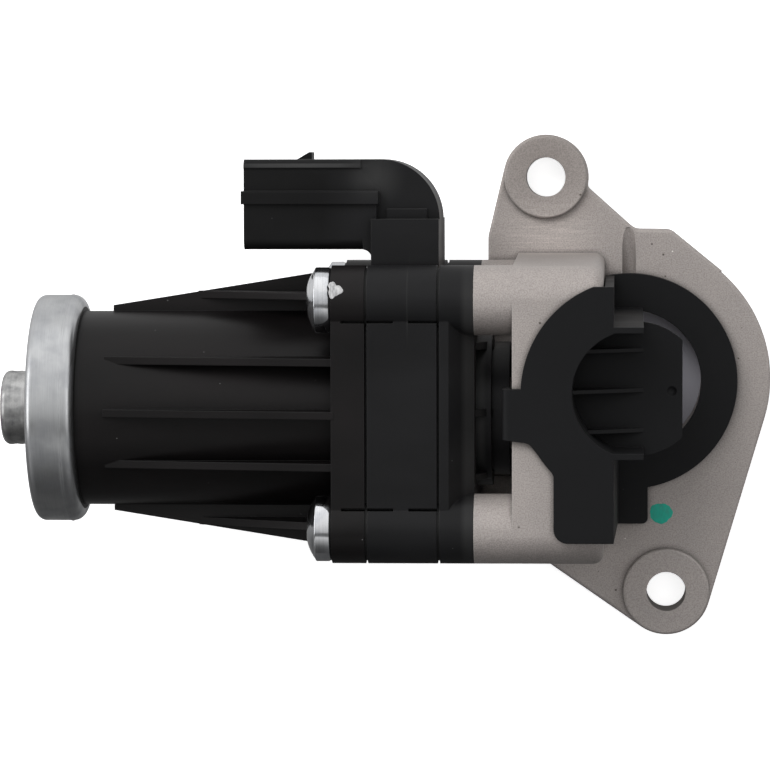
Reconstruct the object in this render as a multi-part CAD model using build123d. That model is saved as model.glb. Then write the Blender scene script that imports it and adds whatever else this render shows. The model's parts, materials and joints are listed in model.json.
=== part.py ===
from build123d import *
from math import acos, atan2, cos, hypot, radians, sin
import os

os.makedirs("parts", exist_ok=True)

# All sizes are in millimetres. X runs along the actuator towards the valve, Y runs up the
# mounting flange and Z leaves its sealing face. The origin is midway between the bolt holes.

# Mounting flange
bolt_circle = 93.4
bolt_turn = 106.2  # degrees from +X to the upper hole
bolt_hole_r = 4.25
ear_r = 9.2
ear_rise = 2.0
low_ear_r = 9.6
ear_boss_inset = 0.3
ear_boss_edge = 0.5
flange_t = 9.0
flange_left = -25.5
flange_corner_r = 8.0
flange_kink_r = 5.0
flange_corner_up = 31.5
flange_corner_down = -25.7
port_x = 5.6
port_y = 0.9
port_r = 15.0
port_room_r = 15.3  # the block is scooped out this wide above the flange
rim_x = 5.3
rim_y = 1.25
rim_r = 30.2
shoulder_x = 6.2
shoulder_y = 33.6
shoulder_w = 7.8
shoulder_r = 3.0
slope_w = 11.0
slope_h = 9.1
throat_r = 1.2  # hollow between the upper ear and the shoulder
ear_lean = 3.4
groove_x = 4.95
groove_low = 22.5
groove_r = 1.45
groove_drop = 2.9
groove_end = 1.2  # height of its centre over the plate where it runs out
plate_edge_r = 0.8

# Valve block and the line of the actuator
axis_y = -3.67
axis_z = 34.0
block_left = -18.9
block_right = -0.3
block_draft = 1.6
block_corner_r = 2.2
screw_offset = 23.5
boss_r = 7.2
post_len = 7.9

# Stacked housings, counted from the posts towards the motor
adapter_t = 7.0
gasket_t = 0.5
gasket_inset = 0.6
gasket_flat_inset = 2.2
housing_t = 14.3
motor_flange_t = 6.9
core_drop = 1.3  # the flats between the bosses lie this much lower
pad_half = 18.95
notch_w = 0.55
notch_deep = 2.6
bridge_left = 5.4  # from the housing's left face to the bridge
bridge_w = 3.1

# Adapter flange and its snout
adapter_wall = 1.9
adapter_recess = 6.0
snout_root = 1.2
snout_r = 14.0
snout_bore_r = 10.0
snout_len = 6.9
snout_step_r = 16.2
snout_step_len = 3.2
snout_rib_t = 1.5
snout_rib_reach = 21.5
snout_rib_gap = 13.6
snout_rib_len = 4.2

# Motor housing
motor_r = 20.5
motor_wall = 1.6
motor_len = 62.6
motor_rim_rise = 1.9
motor_rim_len = 7.4
motor_rim_edge = 1.2
fin_t = 1.6
fin_rise = 1.25
fin_big_r = 29.5
fin_len = 48.0
fin_outer_len = 30.0
fin_start = 0.4  # how far a crest stands off the barrel where it starts
fin_inner = 10.8
fin_outer = 24.0
front_wall = 1.5

# End cap
cap_len = 10.9
cap_wall = 1.2
cap_fit = 0.25
cap_edge_r = 3.4
crimp_gap = 0.9
crimp_edge_r = 2.2
cup_r = 7.85
cup_len = 7.4
cup_edge_r = 1.5
cup_rim_r = 11.0
seal_len = 1.4
seal_reach = 0.15

# Housing screws
screw_r = 3.0
screw_bite = 13.0
head_r = 6.8
head_h = 5.5
head_flange = 3.2
sleeve_wall = 1.1
sleeve_gap = 0.05

# Electric connector
shroud_mouth = -74.9
shroud_len = 24.4
shroud_bottom = 30.1
shroud_h = 18.7
shroud_w = 24.0
shroud_wall = 2.0
socket_deep = 17.0
connector_z = 38.0
neck_left = -48.3
neck_w = 14.0
neck_depth = 30.0
neck_top = 36.4
elbow_r = 12.6
elbow_depth = 20.0
throat_fillet = 2.0
band_y = 40.85
band_h = 2.75
band_rise = 1.3
band_lip = 0.5
rail_h = 1.9
rail_rise = 0.5
ledge_len = 8.4
ledge_h = 2.1
ledge_inset = 2.6
ledge_rise = 0.8
latch_x = -64.4
latch_len = 3.1
latch_h = 1.5
latch_w = 7.0
pin_pitch = 5.4
pin_spread = 5.6
pin_t = 0.8
pin_len = 11.0
pin_root = 5.0

# Valve, guide and return spring
seat_face = -8.5
seat_t = 3.0
seat_r = 11.0
seat_bore_r = 8.0
chamber_r = 9.0
chamber_len = 4.5
duct_w = 5.0
duct_half = 9.0
disc_r = 9.7
disc_t = 3.0
stem_r = 3.0
stem_tip_r = 2.2
stem_back = -38.5
guide_tube_r = 6.6
guide_tube_len = 5.1
bush_r = 5.0
bush_len = 6.6
stem_seal_t = 1.6
run_gap = 0.05
retainer_r = 9.3
retainer_t = 2.0
retainer_back = 1.0
retainer_groove_r = 2.5
spring_wire = 1.4
spring_r = 7.9
spring_turns = 4.5

# Motor, screw drive and sensor
shaft_r = 7.0
shaft_bore_r = 5.3
shaft_tail_r = 3.5
shaft_floor_t = 4.0
shaft_inset = 1.5
tail_gap = 1.5
spindle_room = 4.5
nut_len = 9.4
spindle_r = 4.0
spindle_len = 53.0
spindle_flat = 3.2
flat_len = 15.0
front_bearing_r = 11.0
front_bearing_w = 5.6
rear_bearing_r = 6.4
rear_bearing_w = 6.0
ring_t = 1.4
ring_over = 3.0
magnet_t = 2.3
magnet_over = 4.0
magnet_turn = 130.0  # degrees that each shell covers
air_gap = 0.9
armature_len = 28.0
armature_gap = 14.0  # from the open end of the barrel to the armature
slots = 8
slot_w = 3.4
slot_floor_r = 8.4
tooth_gap = 1.0
tooth_tip = 1.5
end_turn = 5.0
commutator_r = 9.5
commutator_len = 6.0
commutator_gap = 1.5
slit_w = 0.5
brush_w = 5.0
brush_t = 4.0
brush_len = 5.5
brush_wall = 1.2
carrier_t = 2.0
guide_plate_t = 3.0
guide_rim_t = 1.2
guide_r = 8.0
guide_rim_r = 11.0
web_back = 2.6
housing_bore_r = 17.5
bearing_room_r = 14.0
board_t = 1.6
board_half = 9.0
board_off = 12.6
chip_w = 4.4
chip_len = 3.5
chip_t = 1.2
sensor_magnet_r = 6.4
sensor_magnet_len = 2.8

# Snap-on guard over the open port
guard_x = 6.3
guard_y = 1.06
guard_hole_r = 13.0
guard_r = 23.4
guard_top = 22.8
guard_t = 2.5
guard_step = 1.8
guard_gap = 0.3
leg_left = -10.4
leg_down = -29.4
leg_corner_r = 2.9
tab_low = -8.3
tab_high = 2.0
tab_t = 1.6
tab_bend_r = 1.3
hook_drop = 5.0
knee_x = -15.4
knee_r = 2.2
knee_y = -9.0
knee_drop = 6.4
far_x = 5.05
far_y = 0.9
far_hole_r = 15.4
far_r = 23.2
far_corner_r = 1.2
far_z = 14.0
far_leg = 9.0
far_down = -29.85
far_rim_t = 1.4
web_draft = 0.9  # the upright webs are this much wider at the far plate
plug_wall = 1.0
plug_floor = 46.5
plug_floor_t = 1.6
plug_right = 16.0
box_right = 7.9
box_up = 14.6
box_down = -12.3
box_wall = 1.2
guard_rib_t = 0.8
guard_rib_pitch = 8.35
guard_rib_z = 56.0
dimple_x = 13.8
dimple_r = 1.2

# Stations along X that follow from the sizes above
x_posts = block_left - post_len
x_adapter = x_posts - adapter_t
x_housing = x_adapter - gasket_t
x_housing_back = x_housing - housing_t
x_motor = x_housing_back - gasket_t
x_heads = x_motor - motor_flange_t
x_motor_back = x_heads - motor_len
x_cap = x_motor_back - cap_wall - guard_gap
x_web = x_housing_back + web_back
motor_bore_r = motor_r - motor_wall
motor_rim_r = motor_r + motor_rim_rise
fin_small_r = motor_r + fin_rise
cap_r = motor_rim_r + cap_fit + cap_wall
crimp_r = motor_r + crimp_gap
armature_r = motor_bore_r - ring_t - magnet_t - air_gap
magnet_len = armature_len + 2 * magnet_over
shaft_front = x_motor - shaft_inset
shaft_floor = stem_back - spindle_len - spindle_room
shaft_shoulder = shaft_floor - shaft_floor_t
shaft_back = x_cap - cup_len + cap_wall + tail_gap
armature_back = x_motor_back + armature_gap
commutator_front = armature_back + armature_len + end_turn + commutator_gap + commutator_len
stack_half = screw_offset + boss_r
core_half = stack_half - core_drop
corners = [(a * screw_offset, b * screw_offset) for a in (-1, 1) for b in (-1, 1)]
bolt_places = [
    (turn * bolt_circle / 2 * cos(radians(bolt_turn)), turn * bolt_circle / 2 * sin(radians(bolt_turn)))
    for turn in (1, -1)
]
actuator = Axis((0, axis_y, axis_z), (1, 0, 0))


# A plane across the actuator: its own x is the part's Y, its own y is the part's Z
def station(x):
    return Plane(origin=(x, axis_y, axis_z), x_dir=(0, 1, 0), z_dir=(1, 0, 0))


# A sketch across the actuator, thickened from x0 to x1
def slab(shape, x0, x1):
    return extrude(station(x0) * shape, x1 - x0, dir=(1, 0, 0))


# A disc or ring across the actuator, centred on it or at a place beside it
def ring(x0, x1, outer, inner=0, place=(0, 0)):
    shape = Pos(*place) * Circle(outer)
    if inner:
        shape -= Pos(*place) * Circle(inner)
    return slab(shape, x0, x1)


# A closed outline of (x, radius) points, turned about the actuator
def turned(*points):
    side = Plane(origin=(0, axis_y, axis_z), x_dir=(1, 0, 0), z_dir=(0, 0, 1))
    return revolve(side * make_face(Polyline(*points, close=True)), actuator)


# A box between two corners of the part's frame
def block(x0, x1, y0, y1, z0, z1):
    return Pos((x0 + x1) / 2, (y0 + y1) / 2, (z0 + z1) / 2) * Box(x1 - x0, y1 - y0, z1 - z0)


# A sketch on the part's XY plane, thickened from z0 to z1
def layer(shape, z0, z1):
    return extrude(Pos(0, 0, z0) * shape, z1 - z0, dir=(0, 0, 1))


# A sketch drawn in X and Z, carried along Y
def across(sketch, y0, y1):
    start = Plane(origin=(0, y0, 0), x_dir=(1, 0, 0), z_dir=(0, -1, 0))
    return extrude(start * sketch, y1 - y0, dir=(0, 1, 0))


def rounded_square(half, radius):
    return RectangleRounded(2 * half, 2 * half, radius)


def save(name, shape):
    export_step(shape, f"parts/{name}.step")


# Discs given anticlockwise as (x, y, radius), wrapped by their outer tangents
def wrapped(*discs):
    points = []
    shape = Sketch()
    for (x0, y0, r0), (x1, y1, r1) in zip(discs, discs[1:] + discs[:1]):
        lean = atan2(y1 - y0, x1 - x0) - acos((r0 - r1) / hypot(x1 - x0, y1 - y0))
        points += [(x + r * cos(lean), y + r * sin(lean)) for x, y, r in ((x0, y0, r0), (x1, y1, r1))]
        shape += Pos(x0, y0) * Circle(r0)
    return shape + Polygon(*points, align=None)


# Outline of the mounting flange: wrapped round the port, the ears and the left corners
def flange_outline():
    corner_x = flange_left + flange_corner_r
    high = (flange_left + flange_kink_r, flange_corner_up, flange_kink_r)
    low = (corner_x, flange_corner_down, flange_corner_r)
    (ear_x, ear_y), (low_x, low_y) = bolt_places
    tip_x = shoulder_x + shoulder_w
    shoulder = Polygon(
        (corner_x, flange_corner_up),
        (port_x, port_y),
        (tip_x + slope_w, shoulder_y - slope_h),
        (tip_x, shoulder_y - 0.1),
        (shoulder_x, shoulder_y),
        (ear_x + ear_lean, ear_y + ear_lean * 0.85),
        align=None,
    )
    outline = wrapped((rim_x, rim_y, rim_r), high, low, (low_x, low_y, low_ear_r))
    return outline + wrapped((ear_x, ear_y, ear_r), high) + shoulder


# Flange plate with its throat and shoulder rounded and its front edge broken
def flange_plate():
    plate = layer(flange_outline(), 0, flange_t)
    ear_x, ear_y = bolt_places[0]
    for x, y, radius in ((ear_x + ear_r, ear_y - 1.4, throat_r), (shoulder_x, shoulder_y, shoulder_r),
                         (shoulder_x + shoulder_w, shoulder_y, shoulder_r)):
        upright = plate.edges().filter_by(Axis.Z).sort_by_distance((x, y, flange_t / 2))[0]
        plate = fillet(upright, radius)
    return fillet(plate.edges().group_by(Axis.Z)[-1], plate_edge_r)


# Groove that comes out from under the guard and runs out at the shoulder
def flange_groove():
    rise = Vector(0, shoulder_y - groove_low, groove_drop)
    foot = (groove_x, groove_low, flange_t + groove_end - groove_drop)
    section = Circle(groove_r) + Pos(0, -2 * groove_r) * Rectangle(2 * groove_r, 4 * groove_r)
    return extrude(Plane(origin=foot, x_dir=(1, 0, 0), z_dir=rise) * section, rise.length)


# Block section across the actuator: round at the front posts, drafted towards the flange
def block_section():
    foot_r = flange_t / 2
    foot_y = stack_half + block_draft - foot_r
    foot_z = foot_r - axis_z
    return wrapped((screw_offset, screw_offset, boss_r), (-screw_offset, screw_offset, boss_r),
                   (-foot_y, foot_z, foot_r), (foot_y, foot_z, foot_r))


def valve_casting():
    shell = slab(block_section(), block_left, block_right)
    shell = fillet(shell.edges().group_by(Axis.X)[-1], block_corner_r)
    body = flange_plate() + shell
    for place in corners:
        body += ring(x_posts, block_left + 1, boss_r, place=place)
    for (x, y), radius in zip(bolt_places, (ear_r, low_ear_r)):
        boss = layer(Pos(x, y) * Circle(radius - ear_boss_inset), flange_t / 2, flange_t + ear_rise)
        body += fillet(boss.edges().group_by(Axis.Z)[-1], ear_boss_edge)
    body += ring(block_left - guide_tube_len, block_left + 1, guide_tube_r)
    return body - flange_groove() - casting_hollows()


# Port, seat pocket, chamber, duct to the flange face, guide bore, screw and bolt holes
def casting_hollows():
    seat_back = seat_face - seat_t
    chamber_back = seat_back - chamber_len
    hollow = layer(Pos(port_x, port_y) * Circle(port_r), -1, flange_t + 1)
    hollow += layer(Pos(port_x, port_y) * Circle(port_room_r), flange_t, axis_z + stack_half + 1)
    hollow += ring(seat_face, port_x, seat_r + 1)
    hollow += ring(seat_back, seat_face, seat_r)
    hollow += ring(chamber_back, seat_back, chamber_r)
    hollow += block(seat_back - duct_w + 0.1, seat_back + 0.1, axis_y - duct_half, axis_y + duct_half,
                    -1, axis_z)
    hollow += ring(block_left - guide_tube_len - 1, chamber_back, bush_r)
    for place in corners:
        hollow += ring(x_posts - 1, x_posts + screw_bite + 1, screw_r + run_gap, place=place)
    for x, y in bolt_places:
        hollow += layer(Pos(x, y) * Circle(bolt_hole_r), -1, flange_t + ear_rise + 1)
    return hollow


def valve_seat():
    lip = seat_t / 3
    back = seat_face - seat_t
    return turned((back, seat_bore_r), (seat_face - lip, seat_bore_r), (seat_face, seat_bore_r + lip),
                  (seat_face, seat_r), (back, seat_r))


# Poppet disc, coned where it meets the seat's chamfer
def valve_disc():
    lip = seat_t / 3
    disc = turned((seat_face - lip, 0), (seat_face - lip, seat_bore_r - run_gap),
                  (seat_face, seat_bore_r + lip - run_gap), (seat_face, disc_r),
                  (seat_face + disc_t, disc_r - 1), (seat_face + disc_t, 0))
    return disc - ring(seat_face - lip - 1, seat_face + disc_t + 1, stem_tip_r)


def valve_stem():
    shoulder = seat_face - seat_t / 3
    groove = stem_back + retainer_back
    return turned((stem_back, 0), (stem_back, stem_r), (groove, stem_r), (groove, retainer_groove_r),
                  (groove + retainer_t, retainer_groove_r), (groove + retainer_t, stem_r),
                  (shoulder, stem_r), (shoulder, stem_tip_r), (seat_face + disc_t + 0.6, stem_tip_r),
                  (seat_face + disc_t + 0.6, 0))


def guide_bush():
    front = seat_face - seat_t - chamber_len
    return ring(front - bush_len, front, bush_r, stem_r + run_gap)


# Lip seal behind the bush: an outer band and a thin lip that rides on the stem
def stem_seal():
    front = seat_face - seat_t - chamber_len - bush_len
    back = front - stem_seal_t
    return turned((back, stem_r + run_gap), (back, bush_r), (front, bush_r), (front, bush_r - 1),
                  (back + 0.5, stem_r + 1), (back + 0.5, stem_r + run_gap))


def spring_retainer():
    back = stem_back + retainer_back
    dish = retainer_t / 2
    return turned((back, retainer_groove_r), (back, retainer_r - dish), (back + dish, retainer_r),
                  (back + retainer_t, retainer_r), (back + retainer_t, retainer_groove_r))


def return_spring():
    start = stem_back + retainer_back + retainer_t + spring_wire / 2 + 0.1
    length = block_left - spring_wire / 2 - 0.1 - start
    path = Helix(length / spring_turns, length, spring_r)
    wire = sweep(Plane(path @ 0, z_dir=path % 0) * Circle(spring_wire / 2), path)
    return station(start) * wire


# Stack section: a square core with a boss round each screw, and the screw holes
def stack_section():
    shape = rounded_square(core_half, core_half - screw_offset)
    for place in corners:
        shape += Pos(*place) * Circle(boss_r)
    return shape - sleeve_holes(sleeve_gap)


def sleeve_holes(gap):
    radius = screw_r + sleeve_gap + sleeve_wall + gap
    return Sketch() + [Pos(*place) * Circle(radius) for place in corners]


# Slots beside the pads on all four sides, seen across the actuator
def notches():
    slot = Rectangle(notch_w, 2 * notch_deep)
    marks = Sketch()
    for turn in range(4):
        for side in (-1, 1):
            marks += Rot(0, 0, 90 * turn) * Pos(side * (pad_half + notch_w / 2), core_half) * slot
    return marks


def adapter_flange():
    body = slab(stack_section(), x_adapter, x_posts) - adapter_ramps()
    body += ring(x_posts - snout_root, x_posts + snout_step_len, snout_step_r)
    body += ring(x_posts - snout_root, x_posts + snout_len, snout_r)
    ribs = Sketch()
    for side in (-snout_rib_gap, 0, snout_rib_gap):
        ribs += Pos(side, 0) * Rectangle(snout_rib_t, 2 * snout_rib_reach)
    cone = turned((x_posts - snout_root, 0), (x_posts - snout_root, snout_rib_reach),
                  (x_posts + snout_rib_len, snout_r - 1), (x_posts + snout_rib_len, 0))
    body += slab(ribs, x_posts - snout_root, x_posts + snout_rib_len) & cone
    return body - ring(x_adapter - 1, x_posts + snout_len + 1, snout_bore_r)


# Ramps that fall away towards the posts between the bosses, on all four sides
def adapter_ramps():
    left = x_adapter + adapter_wall
    low = core_half - adapter_recess
    wedge = Polygon((left, core_half), (x_posts, low), (x_posts + 1, low), (x_posts + 1, core_half + 2),
                    (left, core_half + 2), align=None)
    ramp = across(Pos(0, axis_z) * wedge, axis_y - screw_offset, axis_y + screw_offset)
    ramps = Part() + [ramp.rotate(actuator, 90 * turn) for turn in range(4)]
    for place in corners:
        ramps -= ring(left - 1, x_posts + 2, boss_r, place=place)
    return ramps


def terminal_housing():
    body = slab(stack_section(), x_housing_back, x_housing)
    cuts = slab(notches(), x_housing_back - 1, x_housing_back + bridge_left)
    cuts += slab(notches(), x_housing_back + bridge_left + bridge_w, x_housing + 1)
    body = body - cuts + connector_body()
    body -= ring(x_housing_back - 1, x_web, bearing_room_r)
    body -= ring(x_web - 1, x_housing + 1, guide_r + run_gap)
    body -= ring(x_web + guide_plate_t, x_housing + 1, housing_bore_r)
    return body - socket() - pins()


# Neck, elbow and shroud of the connector, one moulding with the housing
def connector_body():
    right = neck_left + neck_w
    top = shroud_bottom + shroud_h
    elbow_x = right - elbow_r
    shroud_right = shroud_mouth + shroud_len
    foot = axis_y + core_half - 2
    z0, z1 = connector_z - shroud_w / 2, connector_z + shroud_w / 2
    e0, e1 = connector_z - elbow_depth / 2, connector_z + elbow_depth / 2
    body = block(shroud_mouth, shroud_right, shroud_bottom, top, z0, z1)
    body += block(shroud_right, neck_left + 1, shroud_bottom, band_y, z0, z1)
    bend = Pos(elbow_x, top - elbow_r) * Circle(elbow_r)
    bend &= Pos((shroud_right + right) / 2, top - elbow_r / 2) * Rectangle(right - shroud_right, elbow_r)
    bend += Pos((shroud_right + elbow_x) / 2, top - elbow_r / 2) * Rectangle(elbow_x - shroud_right, elbow_r)
    bend += Pos((neck_left + right) / 2, (foot + top - elbow_r) / 2) * Rectangle(neck_w, top - elbow_r - foot)
    body += layer(bend, e0, e1)
    collar = Polygon((shroud_right - 1, z0), (shroud_right, z0), (elbow_x, e0), (elbow_x, e1),
                     (shroud_right, z1), (shroud_right - 1, z1), align=None)
    body += across(collar, band_y, top)
    body += block(neck_left, right, foot, neck_top, connector_z - neck_depth / 2, connector_z + neck_depth / 2)
    ledge_right = right - ledge_inset
    body += block(ledge_right - ledge_len, ledge_right, neck_top - 1, neck_top + ledge_h,
                  e0 - ledge_rise, e1 + ledge_rise)
    hollow = Pos(neck_left - throat_fillet, shroud_bottom - throat_fillet) * Circle(throat_fillet)
    gusset = Pos(neck_left - throat_fillet / 2, shroud_bottom - throat_fillet / 2)
    body += layer(gusset * Rectangle(throat_fillet, throat_fillet) - hollow, z0, z1)
    body += block(shroud_mouth - band_lip, elbow_x, band_y - band_h / 2, band_y + band_h / 2,
                  z0 - band_rise, z1 + band_rise)
    body += block(shroud_mouth, shroud_right, top - rail_h, top, z0 - rail_rise, z1 + rail_rise)
    catch = latch_x + latch_len
    ramp = Polygon((latch_x, top - 0.5), (catch, top - 0.5), (catch, top + latch_h),
                   (catch - 0.6, top + latch_h), (latch_x, top), align=None)
    return body + layer(ramp, connector_z - latch_w / 2, connector_z + latch_w / 2)


# Hollow of the shroud, open at its mouth
def socket():
    inside = RectangleRounded(shroud_h - 2 * shroud_wall, shroud_w - 2 * shroud_wall, 1.5)
    middle = shroud_bottom + shroud_h / 2
    mouth = Plane(origin=(shroud_mouth - 1, middle, connector_z), x_dir=(0, 1, 0), z_dir=(1, 0, 0))
    return extrude(mouth * inside, socket_deep + 1, dir=(1, 0, 0))


# Six blade pins in two rows, rooted in the back of the socket
def pins():
    back = shroud_mouth + socket_deep
    middle = shroud_bottom + shroud_h / 2
    blades = []
    for row in (-0.5, 0.5):
        for column in (-1, 0, 1):
            y, z = middle + row * pin_pitch, connector_z + column * pin_spread
            blades.append(block(back - pin_len, back + pin_root, y - pin_t / 2, y + pin_t / 2,
                                z - pin_t, z + pin_t))
    return Compound(blades)


def motor_housing():
    body = slab(stack_section(), x_heads, x_motor)
    body -= slab(notches(), x_motor - 0.7 * motor_flange_t, x_motor + 1)
    body += ring(x_motor_back, x_heads + 1, motor_r)
    body += motor_rim()
    body += motor_fins()
    bearing_back = shaft_front - front_bearing_w
    body -= ring(x_motor_back - 1, x_heads - front_wall, motor_bore_r)
    body -= ring(x_heads - front_wall - 1, x_motor + 1, shaft_r + 1)
    body -= ring(bearing_back, x_motor + 1, front_bearing_r)
    return body


# Collar that the cap is rolled over, with both edges broken
def motor_rim():
    right = x_motor_back + motor_rim_len
    low = motor_rim_r - motor_rim_edge
    return turned((x_motor_back, motor_bore_r), (x_motor_back, low), (x_motor_back + motor_rim_edge, motor_rim_r),
                  (right - motor_rim_edge, motor_rim_r), (right, low), (right, motor_bore_r))


# Fins that stand on the barrel in the Z direction, and one at each side under a cone
def motor_fins():
    right = x_heads + 0.5
    tail = x_heads - fin_len
    cone = turned((tail, 0), (tail, fin_small_r), (right, fin_big_r), (right, 0))
    solid = slab(Rectangle(2 * fin_big_r, fin_t), tail, right) & cone
    solid += fin(0, tail, motor_r + 2 * fin_start, right)
    for side in (-1, 1):
        beside = fin_inner + fin_t / 2
        solid += fin(side * fin_inner, tail, (motor_r ** 2 - beside ** 2) ** 0.5 + fin_start, right)
        solid += fin(side * fin_outer, x_heads - fin_outer_len, fin_start, right)
    for place in corners:
        solid -= ring(x_heads - head_h - 1, x_heads, head_r + guard_gap, place=place)
    return solid


# Two fins, front and rear, with straight crests that rise from one height at x0 to the flange
def fin(side, x0, low, x1):
    high = (fin_big_r ** 2 - side ** 2) ** 0.5
    shape = Polygon((x0, -low), (x1, -high), (x1, high), (x0, low), align=None)
    face = Plane(origin=(0, axis_y + side - fin_t / 2, axis_z), x_dir=(1, 0, 0), z_dir=(0, -1, 0))
    return extrude(face * shape, fin_t, dir=(0, 1, 0))


# Drawn steel cap, rounded at the closed end and rolled inwards at the open one
def end_cap():
    right = x_cap + cap_len
    outer = ring(x_cap, right, cap_r)
    outer = fillet(outer.edges().sort_by(Axis.X)[0], cap_edge_r)
    outer = fillet(outer.edges().sort_by(Axis.X)[-1], crimp_edge_r)
    inner = ring(x_cap + cap_wall, right - cap_wall, cap_r - cap_wall)
    inner = fillet(inner.edges().sort_by(Axis.X)[0], cap_edge_r - cap_wall)
    inner = fillet(inner.edges().sort_by(Axis.X)[-1], crimp_edge_r - cap_wall)
    return outer - inner - ring(right - cap_wall - 1, right + 1, crimp_r) - ring(x_cap - 1, right, cup_r)


# Bearing cup pressed through the cap from inside
def bearing_cup():
    tip = x_cap - cup_len
    rim = x_cap + cap_wall
    cup = ring(tip, rim + cap_wall, cup_r)
    cup = fillet(cup.edges().sort_by(Axis.X)[0], cup_edge_r)
    cup += ring(rim, rim + cap_wall, cup_rim_r)
    return cup - ring(tip + cap_wall, rim + cap_wall + 1, rear_bearing_r)


def cap_seal():
    right = x_cap + cap_len + seal_reach
    return turned((right - seal_len, motor_r), (right - seal_len, crimp_r - sleeve_gap),
                  (right - seal_reach, crimp_r - sleeve_gap), (right, motor_r + 0.3), (right, motor_r))


# Flat gasket between two housings, cut back a little from their outline
def gasket(x0):
    shape = rounded_square(core_half - gasket_flat_inset, core_half - gasket_flat_inset - screw_offset)
    for place in corners:
        shape += Pos(*place) * Circle(boss_r - gasket_inset)
    shape -= sleeve_holes(sleeve_gap)
    return slab(shape - Circle(housing_bore_r), x0, x0 + gasket_t)


# Domed screws with a washer face; the shank runs through the sleeve into the post
def housing_screws():
    shank = turned((x_heads, 0), (x_heads, screw_r), (x_posts + screw_bite - 1, screw_r),
                   (x_posts + screw_bite, screw_r - 1), (x_posts + screw_bite, 0))
    head = ring(x_heads - head_h, x_heads, head_r)
    head = fillet(head.edges().sort_by(Axis.X)[0], head_h - head_flange)
    socket_cut = slab(RegularPolygon(head_r * 0.42, 6), x_heads - head_h - 1, x_heads - head_flange)
    screw = head + shank - socket_cut
    return Compound([Pos(0, y, z) * screw for y, z in corners])


# Steel sleeves that take the clamping load through the plastic housings
def compression_limiters():
    inner = screw_r + sleeve_gap
    return Compound([ring(x_heads, x_posts, inner + sleeve_wall, inner, place) for place in corners])


# Hollow rotor shaft with a solid tail
def rotor_shaft():
    return turned((shaft_back, 0), (shaft_back, shaft_tail_r), (shaft_shoulder, shaft_tail_r),
                  (shaft_shoulder, shaft_r), (shaft_front, shaft_r), (shaft_front, shaft_bore_r),
                  (shaft_floor, shaft_bore_r), (shaft_floor, 0))


def screw_nut():
    return ring(shaft_front - nut_len, shaft_front, shaft_bore_r, spindle_r + run_gap)


# Screw spindle: round in the nut, with two flats where the guide stops it turning
def drive_spindle():
    back = stem_back - spindle_len
    rod = ring(back, stem_back, spindle_r)
    flats = Rectangle(4 * spindle_r, 4 * spindle_r) - Rectangle(4 * spindle_r, 2 * spindle_flat)
    return rod - slab(flats, stem_back - flat_len, stem_back + 1)


# Flanged bush whose flat-sided hole keeps the spindle from turning
def spindle_guide():
    body = ring(x_web, x_web + guide_plate_t, guide_r)
    body += ring(x_web + guide_plate_t, x_web + guide_plate_t + guide_rim_t, guide_rim_r)
    hole = Circle(spindle_r + run_gap) & Rectangle(4 * spindle_r, 2 * (spindle_flat + run_gap))
    return body - slab(hole, x_web - 1, x_web + guide_plate_t + guide_rim_t + 1)


def front_bearing():
    back = shaft_front - front_bearing_w
    race = ring(back, shaft_front, front_bearing_r, shaft_r + run_gap)
    groove_out = front_bearing_r - 1.2
    groove_in = shaft_r + run_gap + 1.2
    return race - ring(back - 1, back + 0.5, groove_out, groove_in) - ring(shaft_front - 0.5, shaft_front + 1,
                                                                           groove_out, groove_in)


def rear_bearing():
    back = x_cap - cup_len + cap_wall
    return ring(back, back + rear_bearing_w, rear_bearing_r, shaft_tail_r + run_gap)


def flux_ring():
    middle = armature_back + armature_len / 2
    half = magnet_len / 2 + ring_over
    return ring(middle - half, middle + half, motor_bore_r, motor_bore_r - ring_t)


# Two magnet shells glued inside the flux ring
def motor_magnets():
    outer = motor_bore_r - ring_t
    middle = armature_back + armature_len / 2
    shells = []
    for turn in (0, 180):
        half = magnet_turn / 2
        wedge = make_face(
            ThreePointArc(*[(2 * outer * cos(radians(a)), 2 * outer * sin(radians(a))) for a in (-half, 0, half)])
            + Polyline((2 * outer * cos(radians(half)), 2 * outer * sin(radians(half))), (0, 0),
                       (2 * outer * cos(radians(half)), -2 * outer * sin(radians(half)))))
        shape = (Circle(outer) - Circle(outer - magnet_t)) & (Rot(0, 0, turn) * wedge)
        shells.append(slab(shape, middle - magnet_len / 2, middle + magnet_len / 2))
    return Compound(shells)


# Slots of the armature: a pocket for the winding and a narrow mouth through the tooth tips
def armature_slots():
    pocket_len = armature_r - tooth_tip - slot_floor_r
    pocket = Pos(slot_floor_r + pocket_len / 2, 0) * Rectangle(pocket_len, slot_w)
    mouth = Pos(armature_r, 0) * Rectangle(2 * tooth_tip + 1, tooth_gap)
    pockets, mouths = Sketch(), Sketch()
    for index in range(slots):
        pockets += Rot(0, 0, index * 360 / slots) * pocket
        mouths += Rot(0, 0, index * 360 / slots) * mouth
    return pockets, mouths


def armature_core():
    pockets, mouths = armature_slots()
    stack = Circle(armature_r) - Circle(shaft_r) - pockets - mouths
    return slab(stack, armature_back, armature_back + armature_len)


# Copper bars in the slots, joined by the end turns
def armature_windings():
    pockets, mouths = armature_slots()
    front = armature_back + armature_len
    outer = armature_r - tooth_tip
    bars = slab(pockets, armature_back - 1, front + 1)
    inner = shaft_r + 0.6
    turns = ring(armature_back - end_turn, armature_back, outer, inner)
    turns += ring(front, front + end_turn, outer, inner)
    return bars + turns


def commutator():
    slits = Sketch()
    for index in range(slots):
        slits += Rot(0, 0, index * 360 / slots) * Pos(commutator_r, 0) * Rectangle(1.6, slit_w)
    shape = Circle(commutator_r) - Circle(shaft_r) - slits
    return slab(shape, commutator_front - commutator_len, commutator_front)


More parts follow.
